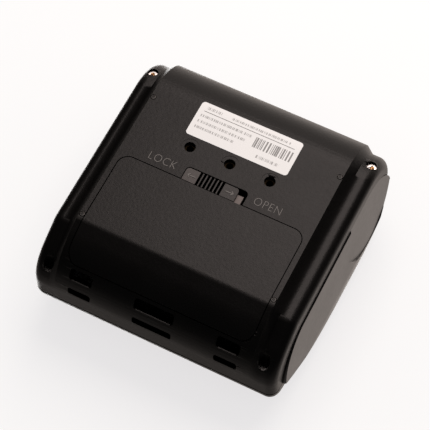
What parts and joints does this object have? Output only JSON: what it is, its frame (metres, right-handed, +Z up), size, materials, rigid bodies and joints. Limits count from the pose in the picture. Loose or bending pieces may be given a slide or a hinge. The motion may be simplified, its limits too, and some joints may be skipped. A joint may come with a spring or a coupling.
{
  "type": "portable label printer",
  "caption": "Handheld thermal label printer with rounded shells, leaf-shaped side panels, hinged paper lid, geared platen and a latched battery cover.",
  "frame": {"origin": "under the middle of the body, at the tips of the four nubs it stands on", "axes": "+Z up towards the paper lid, -Y towards the paper exit, +X towards the gear side"},
  "size_m": [0.1214, 0.1202, 0.0596],
  "materials": {
    "shell": "fine-grained black moulded plastic",
    "panel": "smooth black plastic",
    "frame": "dark grey moulded plastic",
    "key": "dark rubber keytop",
    "lens": "translucent light pipe",
    "roller": "ground black rubber",
    "nylon": "natural nylon",
    "steel": "ground steel",
    "screw": "yellow passivated screw",
    "insert": "knurled brass insert",
    "alloy": "plain aluminium",
    "ceramic": "glazed ceramic strip",
    "board": "green solder mask",
    "chip": "black component",
    "sleeve": "shrink sleeve",
    "label": "white coated paper"
  },
  "bodies": {
    "housing": {"bottom_shell": "shell", "top_shell": "shell", "side_panel_left": "panel", "side_panel_right": "panel", "battery_pack": "sleeve", "battery_contacts": "steel", "belt_clip_inserts": "insert", "rating_label": "label", "case_screws": "screw", "lid_hinge_pin": "steel", "idler_axle": "steel", "motor": "alloy", "chassis": "frame", "chassis_screws": "steel", "paper_sensor": "chip", "print_head": "ceramic", "head_sink": "alloy", "head_springs": "steel", "tear_bar": "steel", "status_lights": "lens", "button_board": "board", "board_screws": "steel", "main_board": "board", "usb_socket": "steel", "buzzer": "chip"},
    "lid": {"paper_lid": "shell", "platen_bushes": "nylon"},
    "platen": {"platen_roller": "roller", "platen_shaft": "steel", "platen_gear": "nylon"},
    "idler": {"idler_gear": "nylon"},
    "pinion": {"motor_pinion": "steel", "motor_shaft": "steel"},
    "battery_door": {"battery_cover": "shell"},
    "latch": {"battery_latch": "shell"},
    "power_key": {"power_button": "key"},
    "feed_key": {"feed_button": "key"},
    "release": {"release_button": "shell"}
  },
  "joints": [
    {"name": "lid_hinge", "type": "hinge", "parent": "housing", "child": "lid", "pos_m": [0, 0.0532, 0.0385], "axis": [-1, 0, 0], "range_deg": [0, 90]},
    {"name": "platen_spin", "type": "hinge", "parent": "lid", "child": "platen", "pos_m": [0, -0.0225, 0.0445], "axis": [1, 0, 0], "continuous": true},
    {"name": "idler_spin", "type": "hinge", "parent": "housing", "child": "idler", "pos_m": [0, -0.03375, 0.03882], "axis": [1, 0, 0], "continuous": true},
    {"name": "pinion_spin", "type": "hinge", "parent": "housing", "child": "pinion", "pos_m": [0, -0.0448, 0.037], "axis": [1, 0, 0], "continuous": true},
    {"name": "battery_door_hinge", "type": "hinge", "parent": "housing", "child": "battery_door", "pos_m": [0, -0.05351, 0.0096], "axis": [-1, 0, 0], "range_deg": [0, 60]},
    {"name": "latch_slide", "type": "slide", "parent": "housing", "child": "latch", "axis": [-1, 0, 0], "range_m": [0, 0.0039]},
    {"name": "power_press", "type": "slide", "parent": "housing", "child": "power_key", "axis": [0, 0.2079, -0.9781], "range_m": [0, 0.0008], "stiffness_N_per_m": 400, "springref_m": -0.001},
    {"name": "feed_press", "type": "slide", "parent": "housing", "child": "feed_key", "axis": [0, 0.2079, -0.9781], "range_m": [0, 0.0008], "stiffness_N_per_m": 400, "springref_m": -0.001},
    {"name": "release_slide", "type": "slide", "parent": "housing", "child": "release", "axis": [0, -0.9914, -0.1305], "range_m": [0, 0.003], "stiffness_N_per_m": 300, "springref_m": -0.002}
  ],
  "couplings": [
    {"joint": "idler_spin", "follows": "platen_spin", "ratio": -0.8},
    {"joint": "pinion_spin", "follows": "platen_spin", "ratio": 1.3333}
  ]
}
